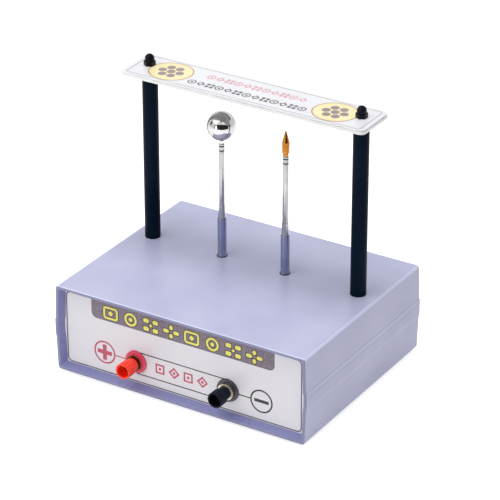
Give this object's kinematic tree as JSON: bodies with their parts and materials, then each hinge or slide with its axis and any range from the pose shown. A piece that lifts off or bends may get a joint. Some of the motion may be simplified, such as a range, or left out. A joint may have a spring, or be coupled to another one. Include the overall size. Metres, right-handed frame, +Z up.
{
  "type": "lightning rod demonstrator",
  "caption": "Bench demonstrator: a flat plate on black columns above a moulded case, with a ball and a point on telescopic masts under it, fed by binding posts.",
  "frame": {"origin": "on the surface under the rubber feet, at the middle of the whole object's box", "axes": "+Z up, +X to the right seen from the front, -Y out of the front with the binding posts"},
  "size_m": [0.1928, 0.1616, 0.199],
  "materials": {
    "case_plastic": "moulded, satin",
    "panel_plastic": "sheet, matt",
    "panel_print": "printed film",
    "plate_print": "printed film",
    "plate_metal": "satin",
    "column_plastic": "extruded, satin",
    "nylon": "moulded",
    "plated_steel": "zinc plated",
    "chrome_plate": "polished",
    "tip_brass": "turned",
    "dark_insulator": "moulded",
    "tinned_copper": "tinned",
    "post_brass": "turned",
    "post_nickel": "nickel plated",
    "red_cap_plastic": "moulded",
    "red_collar_plastic": "moulded",
    "black_cap_plastic": "moulded",
    "black_collar_plastic": "moulded",
    "foot_rubber": "matt",
    "red_insulation": "extruded",
    "black_insulation": "extruded"
  },
  "bodies": {
    "root": {"lower_shell": "case_plastic", "upper_shell": "case_plastic", "case_screws": "plated_steel", "rubber_feet": "foot_rubber", "front_panel": "panel_plastic", "panel_label": "panel_print", "rear_panel": "panel_plastic", "left_column": "column_plastic", "right_column": "column_plastic", "left_tie_rod": "plated_steel", "right_tie_rod": "plated_steel", "top_plate": "plate_metal", "plate_film": "plate_print", "dome_nuts": "nylon", "rod_washers": "plated_steel", "rod_nuts": "plated_steel", "ball_mast_base": "chrome_plate", "needle_mast_base": "chrome_plate", "deck_washers": "dark_insulator", "mast_washers": "dark_insulator", "mast_nuts": "plated_steel", "mast_link": "tinned_copper", "mast_lock_nuts": "plated_steel", "red_post_collar": "red_collar_plastic", "red_post_stem": "post_brass", "red_rear_bush": "dark_insulator", "red_post_nuts": "post_brass", "red_post_lug": "tinned_copper", "black_post_collar": "black_collar_plastic", "black_post_stem": "post_brass", "black_rear_bush": "dark_insulator", "black_post_nuts": "post_brass", "black_post_lug": "tinned_copper", "rod_lug": "tinned_copper", "rod_lock_nut": "plated_steel", "mast_lug": "tinned_copper", "red_lead": "red_insulation", "black_lead": "black_insulation"},
    "ball_middle": {"ball_mast_middle": "chrome_plate"},
    "ball_top": {"ball_mast_top": "chrome_plate", "ball_mast_collar": "chrome_plate", "ball_electrode": "chrome_plate"},
    "needle_middle": {"needle_mast_middle": "chrome_plate"},
    "needle_top": {"needle_mast_top": "chrome_plate", "needle_mast_collar": "chrome_plate", "needle_electrode": "tip_brass"},
    "red_clamp": {"red_pinch_washer": "post_nickel"},
    "red_cap": {"red_post_cap": "red_cap_plastic", "red_cap_insert": "post_brass"},
    "black_clamp": {"black_pinch_washer": "post_nickel"},
    "black_cap": {"black_post_cap": "black_cap_plastic", "black_cap_insert": "post_brass"}
  },
  "joints": [
    {"name": "ball_middle_slide", "type": "slide", "parent": "root", "child": "ball_middle", "axis": [0, 0, 1], "range_m": [-0.0094, 0.008]},
    {"name": "ball_top_slide", "type": "slide", "parent": "ball_middle", "child": "ball_top", "axis": [0, 0, 1], "range_m": [-0.0384, 0.008]},
    {"name": "needle_middle_slide", "type": "slide", "parent": "root", "child": "needle_middle", "axis": [0, 0, 1], "range_m": [-0.0088, 0.008]},
    {"name": "needle_top_slide", "type": "slide", "parent": "needle_middle", "child": "needle_top", "axis": [0, 0, 1], "range_m": [-0.0418, 0.008]},
    {"name": "red_cap_travel", "type": "slide", "parent": "root", "child": "red_clamp", "axis": [0, -1, 0], "range_m": [0, 0.0021]},
    {"name": "red_cap_turn", "type": "hinge", "parent": "red_clamp", "child": "red_cap", "pos_m": [-0.0353, -0.06425, 0.0229], "axis": [0, -1, 0], "range_deg": [0, 1080.2]},
    {"name": "black_cap_travel", "type": "slide", "parent": "root", "child": "black_clamp", "axis": [0, -1, 0], "range_m": [0, 0.0021]},
    {"name": "black_cap_turn", "type": "hinge", "parent": "black_clamp", "child": "black_cap", "pos_m": [0.0353, -0.06425, 0.0229], "axis": [0, -1, 0], "range_deg": [0, 1080.2]}
  ],
  "couplings": [
    {"joint": "red_cap_turn", "follows": "red_cap_travel", "rad_per_m": 8976},
    {"joint": "black_cap_turn", "follows": "black_cap_travel", "rad_per_m": 8976}
  ]
}
